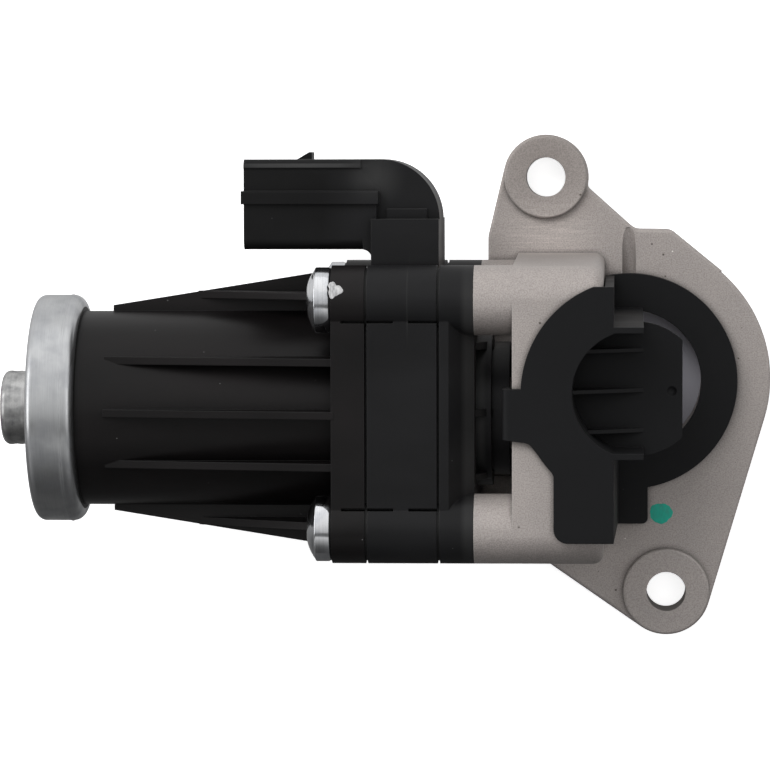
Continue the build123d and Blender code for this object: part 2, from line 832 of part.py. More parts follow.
def brushes():
    near = commutator_r + run_gap
    middle = commutator_front - commutator_len / 2
    blocks = []
    for side in (-1, 1):
        face = Pos(0, side * (near + brush_len / 2)) * Rectangle(brush_w, brush_len)
        blocks.append(slab(face, middle - brush_t / 2, middle + brush_t / 2) - ring(
            middle - brush_t, middle + brush_t, near))
    return Compound(blocks)


# Carrier plate with a guide box round each brush
def brush_carrier():
    middle = commutator_front - commutator_len / 2
    plate = ring(middle + brush_t / 2, middle + brush_t / 2 + carrier_t, motor_bore_r, commutator_r + 1)
    near = commutator_r + brush_wall
    length = motor_bore_r - 1.5 - near
    for side in (-1, 1):
        walls = Rectangle(brush_w + 2 * brush_wall, length) - Rectangle(brush_w, length)
        box = Pos(0, side * (near + length / 2)) * walls
        plate += slab(box, middle - brush_t / 2, middle + brush_t / 2 + 0.5)
    return plate


def sensor_magnet():
    back = x_web + guide_plate_t + guide_rim_t + guard_gap
    hole = Circle(spindle_r) & Rectangle(4 * spindle_r, 2 * spindle_flat)
    return slab(Circle(sensor_magnet_r) - hole, back, back + sensor_magnet_len)


# Sensor board standing on the housing's web, above the magnet
def sensor_board():
    back = x_web + guide_plate_t
    board = block(back, x_housing - 0.3, axis_y + board_off, axis_y + board_off + board_t,
                  axis_z - board_half, axis_z + board_half)
    start = back + 1.5
    chip = block(start, start + chip_len, axis_y + board_off - chip_t, axis_y + board_off,
                 axis_z - chip_w / 2, axis_z + chip_w / 2)
    return board + chip


# Front plate of the guard: part ring, tab and leg, all left of the step
def guard_front():
    disc = Pos(guard_x, guard_y) * Circle(guard_r)
    tab_left = block_left - guard_gap - tab_t
    knee_end = knee_y - knee_drop
    web = Polygon((tab_left, tab_high), (tab_left, tab_low), (knee_x, knee_y), (leg_left, knee_end),
                  (leg_left, leg_down), (guard_step, leg_down), (guard_step, tab_high), align=None)
    rounded = ((leg_left, leg_down, leg_corner_r), (knee_x, knee_y, knee_r), (leg_left, knee_end, knee_r))
    for x, y, radius in rounded:
        web = fillet(web.vertices().sort_by_distance((x, y, 0))[0], radius)
    half = Pos(guard_step - 2 * guard_r, guard_top - 2 * guard_r) * Rectangle(4 * guard_r, 4 * guard_r)
    shape = (disc & half) + web
    return shape - Pos(guard_x, guard_y) * Circle(guard_hole_r)


# Far plate of the guard, right of the step and down on the flange, with a rim under its edge
def guard_far():
    web_left = block_right + guard_gap
    right = Pos(web_left + 2 * far_r, far_y) * Rectangle(4 * far_r, 4 * far_r)
    disc = Pos(far_x, far_y) * Circle(far_r)
    leg = Polygon((web_left, far_y), (far_leg, far_y), (far_leg, far_down), (web_left, far_down), align=None)
    leg = fillet(leg.vertices().sort_by_distance((far_leg, far_down, 0))[0], far_corner_r)
    hole = Pos(far_x, far_y) * Circle(far_hole_r)
    plate = (disc & right) + leg - hole
    inner_x, inner_y = far_leg - 2 * far_rim_t, far_down + far_rim_t
    inner = Polygon((web_left, far_y), (inner_x, far_y), (inner_x, inner_y), (web_left, inner_y), align=None)
    rim = plate - ((Pos(far_x, far_y) * Circle(far_r - far_rim_t) & right) + Pos(far_rim_t / 2, 0) * inner)
    return layer(plate, far_z - guard_t, far_z) + layer(rim, flange_t + guard_gap, far_z - guard_t + 0.5)


# Upright webs between the front and the far plate, drafted on their outer sides
def guard_webs(top):
    web_left = block_right + guard_gap
    foot = far_z - guard_t
    lower = Polygon((web_left, foot), (guard_step + web_draft, foot), (guard_step, top), (web_left, top),
                    align=None)
    low, reach = box_up - box_wall, far_y + far_hole_r + box_wall / 2
    upper = Polygon((low, foot), (guard_top + web_draft, foot), (guard_top, top), (low, top), align=None)
    shelf = Polygon((low, plug_floor - plug_floor_t), (reach - box_wall, foot), (reach, foot),
                    (box_up, top), (low, top), align=None)
    start = Plane(origin=(web_left, 0, 0), x_dir=(0, 1, 0), z_dir=(1, 0, 0))
    return (across(lower, leg_down, box_down + box_wall)
            + extrude(start * upper, guard_step - web_left, dir=(1, 0, 0))
            + extrude(start * shelf, box_right - web_left, dir=(1, 0, 0)))


# Plug of the guard: a part tube and a floor inside the port, side walls and three ribs
def guard_plug(top):
    web_left = block_right + guard_gap
    floor_z = plug_floor - plug_floor_t
    tube_r = guard_hole_r + plug_wall
    half = Pos(guard_step - 2 * guard_r, guard_y) * Rectangle(4 * guard_r, 4 * guard_r)
    centre = Pos(guard_x, guard_y)
    tube = centre * (Circle(tube_r) - Circle(guard_hole_r)) & half
    plug = layer(tube, floor_z, top)
    left_of_edge = Pos(plug_right - 2 * guard_r, guard_y) * Rectangle(4 * guard_r, 4 * guard_r)
    plug += layer(centre * Circle(tube_r) & left_of_edge, floor_z, plug_floor)
    plug += block(web_left, box_right, box_down, box_down + box_wall, floor_z, top)
    left = guard_x - guard_hole_r
    for index in (-1, 0, 1):
        y = guard_y - 0.3 + index * guard_rib_pitch
        rib = Polygon((left - 0.3, plug_floor - 0.5), (box_right, plug_floor - 0.5), (box_right, plug_floor),
                      (left - 0.3, guard_rib_z), align=None)
        solid = across(rib, y - guard_rib_t / 2, y + guard_rib_t / 2)
        plug += solid & layer(centre * Circle(tube_r - 0.2), floor_z, top)
    return plug


def port_guard():
    front = axis_z + stack_half
    top = front + guard_t
    body = layer(guard_front(), front, top) + guard_far() + guard_plug(top) + guard_webs(top)
    tab_left = block_left - guard_gap - tab_t
    body += block(tab_left, tab_left + tab_t, tab_low, tab_high, front - hook_drop, front + 1)
    bend = (tab_left, (tab_low + tab_high) / 2, top)
    body = fillet(body.edges().filter_by(Axis.Y).sort_by_distance(bend)[0], tab_bend_r)
    return body - Pos(dimple_x, guard_y - 0.5, plug_floor + dimple_r / 2) * Sphere(dimple_r)


nodes = {
    "valve_casting": valve_casting,
    "valve_seat": valve_seat,
    "valve_disc": valve_disc,
    "valve_stem": valve_stem,
    "guide_bush": guide_bush,
    "stem_seal": stem_seal,
    "spring_retainer": spring_retainer,
    "return_spring": return_spring,
    "adapter_flange": adapter_flange,
    "terminal_housing": terminal_housing,
    "connector_pins": pins,
    "motor_housing": motor_housing,
    "end_cap": end_cap,
    "bearing_cup": bearing_cup,
    "cap_seal": cap_seal,
    "housing_screws": housing_screws,
    "compression_limiters": compression_limiters,
    "rotor_shaft": rotor_shaft,
    "screw_nut": screw_nut,
    "drive_spindle": drive_spindle,
    "spindle_guide": spindle_guide,
    "front_bearing": front_bearing,
    "rear_bearing": rear_bearing,
    "flux_ring": flux_ring,
    "motor_magnets": motor_magnets,
    "armature_core": armature_core,
    "armature_windings": armature_windings,
    "commutator": commutator,
    "brushes": brushes,
    "brush_carrier": brush_carrier,
    "sensor_magnet": sensor_magnet,
    "sensor_board": sensor_board,
    "port_guard": port_guard,
}

for name, make in nodes.items():
    save(name, make())
save("adapter_gasket", gasket(x_adapter - gasket_t))
save("motor_gasket", gasket(x_motor))
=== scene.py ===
import json
import math
import bmesh
import bpy
import numpy as np
from mathutils import Matrix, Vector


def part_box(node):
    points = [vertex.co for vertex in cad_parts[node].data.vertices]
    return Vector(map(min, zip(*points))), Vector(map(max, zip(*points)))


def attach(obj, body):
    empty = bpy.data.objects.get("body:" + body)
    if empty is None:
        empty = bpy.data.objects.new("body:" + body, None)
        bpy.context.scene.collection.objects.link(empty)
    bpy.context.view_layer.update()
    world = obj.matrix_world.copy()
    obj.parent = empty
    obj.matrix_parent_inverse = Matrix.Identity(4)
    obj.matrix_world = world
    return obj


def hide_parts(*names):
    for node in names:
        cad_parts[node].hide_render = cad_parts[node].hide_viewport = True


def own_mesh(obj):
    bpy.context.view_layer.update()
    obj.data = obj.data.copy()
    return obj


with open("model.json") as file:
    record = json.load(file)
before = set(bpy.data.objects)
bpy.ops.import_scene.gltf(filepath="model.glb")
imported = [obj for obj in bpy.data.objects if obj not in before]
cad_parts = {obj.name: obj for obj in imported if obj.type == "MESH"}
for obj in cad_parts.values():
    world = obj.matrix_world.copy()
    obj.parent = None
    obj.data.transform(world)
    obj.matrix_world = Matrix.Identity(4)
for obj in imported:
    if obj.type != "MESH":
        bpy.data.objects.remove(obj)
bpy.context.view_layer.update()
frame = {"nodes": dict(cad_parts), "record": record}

nodes = frame["nodes"]
behaviour = frame["record"]["behaviour"]
scene = bpy.context.scene
mm = 0.001
print("frame loaded:", len(nodes), "nodes")

# The actuator lies along X on the line of the end cap's middle
capLow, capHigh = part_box("end_cap")
axisY = (capLow.y + capHigh.y) / 2
axisZ = (capLow.z + capHigh.z) / 2


# Node helpers, shared by every finish

def newFinish(name):
    finish = bpy.data.materials.new(name)
    finish.use_nodes = True
    tree = finish.node_tree
    tree.nodes.clear()
    output = tree.nodes.new("ShaderNodeOutputMaterial")
    shader = tree.nodes.new("ShaderNodeBsdfPrincipled")
    tree.links.new(shader.outputs["BSDF"], output.inputs["Surface"])
    place = tree.nodes.new("ShaderNodeTexCoord").outputs["Object"]
    return finish, tree, shader, place


def blend(tree, factor, low, high, start=0.35, end=0.65):
    # a colour ramp between two colours, or two values given as greys
    ramp = tree.nodes.new("ShaderNodeValToRGB")
    ramp.color_ramp.elements[0].position = start
    ramp.color_ramp.elements[1].position = end
    for element, value in zip(ramp.color_ramp.elements, (low, high)):
        rgb = (value, value, value) if isinstance(value, (int, float)) else value
        element.color = (*rgb, 1)
    tree.links.new(factor, ramp.inputs["Fac"])
    return ramp.outputs["Color"]


def mixColours(tree, factor, first, second, mode="MIX"):
    mix = tree.nodes.new("ShaderNodeMix")
    mix.data_type = "RGBA"
    mix.blend_type = mode
    sockets = {s.identifier: s for s in mix.inputs}
    if isinstance(factor, (int, float)):
        sockets["Factor_Float"].default_value = factor
    else:
        tree.links.new(factor, sockets["Factor_Float"])
    for value, key in ((first, "A_Color"), (second, "B_Color")):
        if isinstance(value, tuple):
            sockets[key].default_value = (*value, 1)
        else:
            tree.links.new(value, sockets[key])
    return [s for s in mix.outputs if s.identifier == "Result_Color"][0]


def multiplied(tree, first, second):
    return mixColours(tree, 1.0, first, second, "MULTIPLY")


def dimmed(tree, mask, share):
    return multiplied(tree, mask, (share,) * 3)


def remapped(tree, value, start, end, low, high, curve="LINEAR"):
    # low where the value is start, high where it is end, and held outside them
    node = tree.nodes.new("ShaderNodeMapRange")
    node.interpolation_type = curve
    for socket, number in zip(("From Min", "From Max", "To Min", "To Max"), (start, end, low, high)):
        node.inputs[socket].default_value = number
    tree.links.new(value, node.inputs["Value"])
    return node.outputs[0]


def numberMath(tree, operation, value, number=0.0):
    node = tree.nodes.new("ShaderNodeMath")
    node.operation = operation
    node.inputs[1].default_value = number
    tree.links.new(value, node.inputs[0])
    return node.outputs[0]


def vectorMath(tree, operation, first, second):
    # second is a fixed vector or another socket
    node = tree.nodes.new("ShaderNodeVectorMath")
    node.operation = operation
    tree.links.new(first, node.inputs[0])
    if isinstance(second, tuple):
        node.inputs[1].default_value = second
    else:
        tree.links.new(second, node.inputs[1])
    return node.outputs["Vector" if operation == "ADD" else "Value"]


def along(tree, vector, axis):
    parts = tree.nodes.new("ShaderNodeSeparateXYZ")
    tree.links.new(vector, parts.inputs[0])
    return parts.outputs[axis]


def grain(tree, place, size, detail=3.0, stretch=(1, 1, 1)):
    # noise whose grains are about size metres across
    mapping = tree.nodes.new("ShaderNodeMapping")
    mapping.inputs["Scale"].default_value = stretch
    tree.links.new(place, mapping.inputs["Vector"])
    noise = tree.nodes.new("ShaderNodeTexNoise")
    noise.inputs["Scale"].default_value = 1 / size
    noise.inputs["Detail"].default_value = detail
    tree.links.new(mapping.outputs["Vector"], noise.inputs["Vector"])
    return noise.outputs["Fac"]


def scratches(tree, place, turn, length, width, share):
    # long thin marks: noise stretched along one direction, of which only the crests are kept
    mapping = tree.nodes.new("ShaderNodeMapping")
    mapping.inputs["Rotation"].default_value = (0, 0, math.radians(turn))
    mapping.inputs["Scale"].default_value = (1 / length, 1 / width, 1 / width)
    tree.links.new(place, mapping.inputs["Vector"])
    noise = tree.nodes.new("ShaderNodeTexNoise")
    noise.inputs["Scale"].default_value = 1.0
    noise.inputs["Detail"].default_value = 2.0
    tree.links.new(mapping.outputs["Vector"], noise.inputs["Vector"])
    return blend(tree, noise.outputs["Fac"], 0.0, 1.0, 1 - share, 1 - share * 0.8)


def specks(tree, place, spacing, radius):
    # scattered round specks: one where the distance to a cell's own point is small
    cells = tree.nodes.new("ShaderNodeTexVoronoi")
    cells.inputs["Scale"].default_value = 1 / spacing
    tree.links.new(place, cells.inputs["Vector"])
    return blend(tree, cells.outputs["Distance"], 1.0, 0.0, radius / spacing * 0.6, radius / spacing)


def within(tree, place, centre, reach):
    # one at the centre, falling to zero at reach
    return remapped(tree, vectorMath(tree, "DISTANCE", place, centre), 0.0, reach, 1.0, 0.0, "SMOOTHSTEP")


def streak(tree, place, x, y, halfX, halfY):
    # a straight mark with soft sides: one where x and y are both met within the half widths
    near = []
    for axis, middle, half in (("X", x, halfX), ("Y", y, halfY)):
        gap = numberMath(tree, "SUBTRACT", along(tree, place, axis), middle)
        far = numberMath(tree, "ABSOLUTE", numberMath(tree, "DIVIDE", gap, half * 2))
        near.append(blend(tree, far, 1.0, 0.0))
    return multiplied(tree, *near)


def openness(tree, reach):
    # how free a spot is of walls within reach metres: low in corners, one in the open
    corners = tree.nodes.new("ShaderNodeAmbientOcclusion")
    corners.samples = 6
    corners.inputs["Distance"].default_value = reach
    return corners.outputs["AO"]


def roundedEdges(tree, radius):
    # the normal of an edge broken by radius metres, and a mask that is one along such edges
    edge = tree.nodes.new("ShaderNodeBevel")
    edge.samples = 6
    edge.inputs["Radius"].default_value = radius
    plain = tree.nodes.new("ShaderNodeNewGeometry").outputs["Normal"]
    agree = vectorMath(tree, "DOT_PRODUCT", edge.outputs["Normal"], plain)
    return edge.outputs["Normal"], blend(tree, agree, 1.0, 0.0, 0.86, 0.99)


def bumps(tree, shader, layers, normal=None):
    # stacks (height, depth in metres) pairs into one chain of bumps
    for height, depth in layers:
        bump = tree.nodes.new("ShaderNodeBump")
        bump.inputs["Strength"].default_value = 1.0
        bump.inputs["Distance"].default_value = depth
        tree.links.new(height, bump.inputs["Height"])
        if normal:
            tree.links.new(normal, bump.inputs["Normal"])
        normal = bump.outputs["Normal"]
    tree.links.new(normal, shader.inputs["Normal"])


# Cast aluminium
castLook = {
    "light": (0.43, 0.39, 0.37),
    "dark": (0.375, 0.342, 0.326),
    "metallic": 0.25,
    "roughness": (0.46, 0.60),
    "blotchSize": 11 * mm,
    "blotchDepth": 0.12 * mm,
    "grainSize": 0.28 * mm,
    "grainDepth": 0.03 * mm,
    "grainTone": (0.70, 1.06),
    "edge": (0.50, 0.47, 0.45),
    "edgeRadius": 0.35 * mm,
    "edgeShare": 0.5,
    # a painted highlight on the plate below the upper ear, with rub marks in it
    "rubbedHighlight": (0.62, 0.56, 0.53),
    "rubbedHighlightAt": (-13 * mm, 33 * mm, 9 * mm),
    "rubbedHighlightReach": 15 * mm,
    "rubs": ((4, 9 * mm, 0.35 * mm, 0.50), (-12, 6 * mm, 0.25 * mm, 0.42)),  # turn, length, width, share
    # painted shade on the upper ear
    "earShade": (0.30, 0.268, 0.25),
    "earShadeAt": (-13.5 * mm, 47.5 * mm, 11 * mm),
    "earShadeReach": 18 * mm,
    "pit": (0.10, 0.085, 0.075),
    "pitSpacing": 5.5 * mm,
    "pitRadius": 0.28 * mm,
    "glint": (0.82, 0.80, 0.78),
    "glintSpacing": 7.5 * mm,
    "glintRadius": 0.20 * mm,
    "glintShift": (3.1 * mm, 3.1 * mm, 3.1 * mm),  # keeps the glints off the pits
    # painted shade in corners and hollows
    "cornerReach": 1.4 * mm,
    "cornerShade": 0.42,
    # painted shade on faces that look down
    "undersideShade": 0.60,
    "mark": (0.75, 0.72, 0.70),
    "markShare": 0.45,
    "marks": (63, 5 * mm, 0.10 * mm, 0.27),
}


def castAluminium():
    # shot-blasted die casting: fine peened grain, wide soft stains, a rubbed patch with a painted highlight,
    # scratches and a few pits, with painted shade on the upper ear, in corners and on faces that look down
    look = castLook
    finish, tree, shader, place = newFinish("castAluminium")
    fine = grain(tree, place, look["grainSize"], 4)
    blotch = grain(tree, place, look["blotchSize"], 5)
    edges, wear = roundedEdges(tree, look["edgeRadius"])
    colour = blend(tree, blotch, look["dark"], look["light"], 0.22, 0.60)
    # painted highlight: a pale patch below the upper ear, with rub marks in it
    rubs = [scratches(tree, place, *rub) for rub in look["rubs"]]
    rubs = blend(tree, mixColours(tree, 0.6, *rubs, "ADD"), 0.55, 1.0, 0.0, 1.0)
    patch = within(tree, place, look["rubbedHighlightAt"], look["rubbedHighlightReach"])
    colour = mixColours(tree, multiplied(tree, patch, rubs), colour, look["rubbedHighlight"])
    # painted shade: the upper ear is darkened
    colour = mixColours(tree, within(tree, place, look["earShadeAt"], look["earShadeReach"]), colour, look["earShade"])
    colour = mixColours(tree, dimmed(tree, wear, look["edgeShare"]), colour, look["edge"])
    colour = mixColours(tree, 0.9, colour, blend(tree, fine, *look["grainTone"], 0.32, 0.62), "MULTIPLY")
    pits = specks(tree, place, look["pitSpacing"], look["pitRadius"])
    colour = mixColours(tree, pits, colour, look["pit"])
    elsewhere = vectorMath(tree, "ADD", place, look["glintShift"])
    glints = specks(tree, elsewhere, look["glintSpacing"], look["glintRadius"])
    colour = mixColours(tree, glints, colour, look["glint"])
    # painted shade: corners and hollows are darkened
    shade = blend(tree, openness(tree, look["cornerReach"]), look["cornerShade"], 1.0, 0.35, 0.92)
    colour = multiplied(tree, colour, shade)
    # faces that look down are darker: painted shade
    below = remapped(tree, along(tree, edges, "Y"), -0.75, -0.15, look["undersideShade"], 1.0)
    colour = multiplied(tree, colour, below)
    marks = dimmed(tree, scratches(tree, place, *look["marks"]), look["markShare"])
    colour = mixColours(tree, marks, colour, look["mark"])
    tree.links.new(colour, shader.inputs["Base Color"])
    tree.links.new(blend(tree, blotch, *look["roughness"]), shader.inputs["Roughness"])
    shader.inputs["Metallic"].default_value = look["metallic"]
    bumps(tree, shader, [(blotch, look["blotchDepth"]), (fine, look["grainDepth"])], edges)
    return finish


# Moulded plastics. A painted lit patch is a centre, reach and tone: on blackPlastic a painted highlight on
# the connector's elbow slope. A streak is x, y, half width, half height and tone:
# on blackPlastic a parting line, a painted shade in the connector's mouth, a painted highlight on its rail
# and a painted highlight on the adapter's side
plasticLooks = {
    "blackPlastic": {
        "light": (0.0104, 0.0104, 0.0112), "dark": (0.0060, 0.0060, 0.0065),
        "roughness": (0.40, 0.54), "specular": 0.22,
        "grainSize": 0.22 * mm, "grainDepth": 0.012 * mm,
        "edgeRadius": 0.28 * mm, "edgeHighlight": 0.030, "dust": 0.40,
        "paintedLitPatches": [((-48 * mm, 45 * mm, 47.8 * mm), 7.5 * mm, 0.030)],
        "streaksAndPaintedLight": [(-40.3 * mm, 19.9 * mm, 0.11 * mm, 7.2 * mm, 0.022),
                    (-67 * mm, 38.5 * mm, 12 * mm, 10 * mm, 0.002),
                    (-63.5 * mm, 47.5 * mm, 12 * mm, 0.4 * mm, 0.055),
                    (-27.1 * mm, -4.0 * mm, 1.9 * mm, 26 * mm, 0.034)],
    },
    "motorPlastic": {
        "light": (0.0078, 0.0066, 0.0068), "dark": (0.0040, 0.0036, 0.0037),
        "roughness": (0.34, 0.46), "specular": 0.24,
        "grainSize": 0.30 * mm, "grainDepth": 0.010 * mm,
        "edgeRadius": 0.25 * mm, "edgeHighlight": 0.016, "dust": 0.60,
        "paintedLitPatches": [], "streaksAndPaintedLight": [],
    },
    "guardPlastic": {
        "light": (0.0080, 0.0081, 0.0088), "dark": (0.0058, 0.0059, 0.0064),
        "roughness": (0.50, 0.62), "specular": 0.20,
        "grainSize": 0.16 * mm, "grainDepth": 0.010 * mm,
        "edgeRadius": 0.20 * mm, "edgeHighlight": 0.020, "dust": 0.16,
        "paintedLitPatches": [], "streaksAndPaintedLight": [],
    },
}
moulding = {
    "cloudSize": 14 * mm,
    "cloudDepth": 0.05 * mm,
    "cornerReach": 2.2 * mm,
    # painted shade in corners and hollows
    "cornerShade": 0.30,
    "dustTone": 0.22,
    "dustSpacing": 4.6 * mm,
    "dustRadius": 0.13 * mm,
    # painted highlight on edges that look this way
    "highlightTowards": (-0.45, 0.85, 0.0),
}


def mouldedPlastic(name):
    # glass-filled nylon: fine moulded grain, faint flow clouds and a little dust
    look = plasticLooks[name]
    finish, tree, shader, place = newFinish(name)
    fine = grain(tree, place, look["grainSize"], 3)
    clouds = grain(tree, place, moulding["cloudSize"], 4, (0.5, 1, 1))
    colour = blend(tree, clouds, look["dark"], look["light"], 0.3, 0.7)
    # painted highlight patches
    for spot, reach, tone in look["paintedLitPatches"]:
        colour = mixColours(tree, within(tree, place, spot, reach), colour, (tone,) * 3)
    # streaks: a real parting line, a painted shade in the connector's mouth and painted highlights on its
    # rail and the adapter's side
    for *where, tone in look["streaksAndPaintedLight"]:
        faint = blend(tree, clouds, 0.5, 1.0, 0.3, 0.7)
        colour = mixColours(tree, multiplied(tree, streak(tree, place, *where), faint), colour, (tone,) * 3)
    # painted shade: corners and hollows are darkened
    shade = blend(tree, openness(tree, moulding["cornerReach"]), moulding["cornerShade"], 1.0, 0.25, 0.95)
    colour = multiplied(tree, colour, shade)
    dust = specks(tree, place, moulding["dustSpacing"], moulding["dustRadius"])
    colour = mixColours(tree, dimmed(tree, dust, look["dust"]), colour, (moulding["dustTone"],) * 3)
    # moulded edges that look up or to the left are paler: a painted highlight where they catch the light
    edges, wear = roundedEdges(tree, look["edgeRadius"])
    aim = vectorMath(tree, "DOT_PRODUCT", edges, moulding["highlightTowards"])
    rubbedHighlight = multiplied(tree, wear, blend(tree, aim, 0.0, 1.0, 0.15, 0.6))
    colour = mixColours(tree, rubbedHighlight, colour, (look["edgeHighlight"],) * 3)
    tree.links.new(colour, shader.inputs["Base Color"])
    tree.links.new(blend(tree, clouds, *look["roughness"]), shader.inputs["Roughness"])
    shader.inputs["Specular IOR Level"].default_value = look["specular"]
    bumps(tree, shader, [(clouds, moulding["cloudDepth"]), (fine, look["grainDepth"])], edges)
    return finish


# Metals
metalLooks = {
    "zincPlate": {"light": (0.64, 0.65, 0.66), "dark": (0.51, 0.52, 0.54), "roughness": (0.40, 0.28),
                  "lines": 0.10 * mm, "lineDepth": 0.004 * mm, "clouds": 5 * mm},
    "drawnSteel": {"light": (0.58, 0.58, 0.575), "dark": (0.28, 0.28, 0.285), "roughness": (0.45, 0.26),
                   "lines": 0.35 * mm, "lineDepth": 0.010 * mm, "clouds": 2.5 * mm},
    "screwZinc": {"light": (0.86, 0.87, 0.89), "dark": (0.68, 0.70, 0.74), "roughness": (0.20, 0.10),
                  "lines": 0.25 * mm, "lineDepth": 0.0015 * mm, "clouds": 3 * mm},
    "turnedSteel": {"light": (0.46, 0.45, 0.44), "dark": (0.26, 0.25, 0.245), "roughness": (0.42, 0.26),
                    "lines": 0.20 * mm, "lineDepth": 0.006 * mm, "clouds": 4 * mm},
    "brass": {"light": (0.66, 0.47, 0.20), "dark": (0.46, 0.31, 0.12), "roughness": (0.40, 0.24),
              "lines": 0.20 * mm, "lineDepth": 0.005 * mm, "clouds": 4 * mm},
    "copper": {"light": (0.62, 0.26, 0.12), "dark": (0.40, 0.15, 0.06), "roughness": (0.44, 0.28),
               "lines": 0.45 * mm, "lineDepth": 0.030 * mm, "clouds": 4 * mm},
    "tinPlate": {"light": (0.62, 0.61, 0.58), "dark": (0.45, 0.44, 0.42), "roughness": (0.36, 0.22),
                 "lines": 0.20 * mm, "lineDepth": 0.003 * mm, "clouds": 2 * mm},
}


def ringMetal(name):
    # plated or turned steel: fine rings that follow X, so they run round everything on the actuator
    look = metalLooks[name]
    finish, tree, shader, place = newFinish(name)
    rings = grain(tree, place, look["lines"], 2, (1, 0.02, 0.02))
    clouds = grain(tree, place, look["clouds"], 5)
    colour = blend(tree, clouds, look["dark"], look["light"], 0.30, 0.58)
    colour = mixColours(tree, 0.25, colour, blend(tree, rings, 0.6, 1.0), "MULTIPLY")
    tree.links.new(colour, shader.inputs["Base Color"])
    tree.links.new(blend(tree, clouds, *look["roughness"]), shader.inputs["Roughness"])
    shader.inputs["Metallic"].default_value = 1.0
    bumps(tree, shader, [(rings, look["lineDepth"]), (clouds, look["lineDepth"])])
    return finish


# Rubber, magnet, carbon and board
plainLooks = {
    "sealRubber": {"light": (0.012, 0.012, 0.012), "dark": (0.007, 0.007, 0.007), "roughness": (0.49, 0.61),
                   "grainSize": 0.2 * mm, "grainDepth": 0.01 * mm},
    "ferrite": {"light": (0.09, 0.09, 0.10), "dark": (0.05, 0.05, 0.055), "roughness": (0.54, 0.66),
                "grainSize": 0.15 * mm, "grainDepth": 0.01 * mm},
    "carbon": {"light": (0.05, 0.05, 0.055), "dark": (0.03, 0.03, 0.03), "roughness": (0.44, 0.56),
               "grainSize": 0.1 * mm, "grainDepth": 0.01 * mm},
    "board": {"light": (0.03, 0.16, 0.06), "dark": (0.02, 0.10, 0.04), "roughness": (0.29, 0.41),
              "grainSize": 0.4 * mm, "grainDepth": 0.005 * mm},
}


def plainFinish(name):
    # a cloudy colour with a fine grain
    look = plainLooks[name]
    finish, tree, shader, place = newFinish(name)
    fine = grain(tree, place, look["grainSize"], 3)
    clouds = grain(tree, place, look["grainSize"] * 18, 3)
    tree.links.new(blend(tree, clouds, look["dark"], look["light"]), shader.inputs["Base Color"])
    tree.links.new(blend(tree, fine, *look["roughness"]), shader.inputs["Roughness"])
    shader.inputs["Specular IOR Level"].default_value = 0.35
    bumps(tree, shader, [(fine, look["grainDepth"])])
    return finish


finishes = {
    "cast_aluminium": castAluminium(),
    "black_plastic": mouldedPlastic("blackPlastic"),
    "motor_plastic": mouldedPlastic("motorPlastic"),
    "guard_plastic": mouldedPlastic("guardPlastic"),
    "zinc_steel": ringMetal("zincPlate"),
    "cup_steel": ringMetal("drawnSteel"),
    "screw_steel": ringMetal("screwZinc"),
    "machined_steel": ringMetal("turnedSteel"),
    "brass": ringMetal("brass"),
    "copper": ringMetal("copper"),
    "tin": ringMetal("tinPlate"),
    "seal_rubber": plainFinish("sealRubber"),
    "magnet": plainFinish("ferrite"),
    "carbon": plainFinish("carbon"),
    "board": plainFinish("board"),
}
print("finishes made:", len(finishes))

slotOf = {entry["node"]: entry["material_slot"] for entry in frame["record"]["subparts"]}
for name, node in nodes.items():
    node.data.materials.clear()
    node.data.materials.append(finishes[slotOf[name]])


# Mesh helpers

def addPiece(name, mesh, finish, body, replaced=()):
    piece = bpy.data.objects.new(name, mesh)
    scene.collection.objects.link(piece)
    mesh.materials.clear()
    mesh.materials.append(finish)
    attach(piece, body)
    if replaced:
        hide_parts(*replaced)
    return piece


def keepSharp(work, sharpAngle=30.0):
    for edge in work.edges:
        edge.smooth = edge.calc_face_angle(math.pi) < math.radians(sharpAngle)
    for face in work.faces:
        face.smooth = True


def smoothCopy(nodeName, pieceName):
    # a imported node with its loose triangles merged, flats in one face each and round faces shaded smooth
    mesh = nodes[nodeName].data.copy()
    work = bmesh.new()
    work.from_mesh(mesh)
    bmesh.ops.remove_doubles(work, verts=work.verts, dist=2e-6)
    bmesh.ops.dissolve_limit(work, angle_limit=math.radians(0.4), verts=work.verts, edges=work.edges)
    keepSharp(work)
    work.to_mesh(mesh)
    work.free()
    body = [name for name, members in behaviour["bodies"].items() if nodeName in members][0]
    slotName = slotOf[nodeName]
    piece = addPiece(pieceName, mesh, finishes[slotName], body, (nodeName,))
    weighted = piece.modifiers.new("flatFaces", "WEIGHTED_NORMAL")
    weighted.keep_sharp = True
    return piece


def gridMesh(name, points, closeRows=False, closeColumns=False):
    # points is (rows, columns, 3); neighbours become quads, and rows of zero radius are merged
    rows, columns = points.shape[:2]
    index = np.arange(rows * columns).reshape(rows, columns)
    below = np.roll(index, -1, 0) if closeRows else index[1:]
    left = index if closeRows else index[:-1]
    if closeColumns:
        quads = np.stack([left, np.roll(left, -1, 1), np.roll(below, -1, 1), below], -1)
    else:
        quads = np.stack([left[:, :-1], left[:, 1:], below[:, 1:], below[:, :-1]], -1)
    mesh = bpy.data.meshes.new(name)
    mesh.from_pydata(points.reshape(-1, 3), [], quads.reshape(-1, 4).tolist())
    work = bmesh.new()
    work.from_mesh(mesh)
    bmesh.ops.remove_doubles(work, verts=work.verts, dist=1e-7)
    bmesh.ops.recalc_face_normals(work, faces=work.faces)
    work.to_mesh(mesh)
    work.free()
    mesh.shade_smooth()
    return mesh


def arc(x, r, radius, start, end, count=9):
    # points (x, r) on a circle about (x, r), from start to end degrees
    turn = np.radians(np.linspace(start, end, count))
    return np.stack([x + radius * np.cos(turn), r + radius * np.sin(turn)], 1)


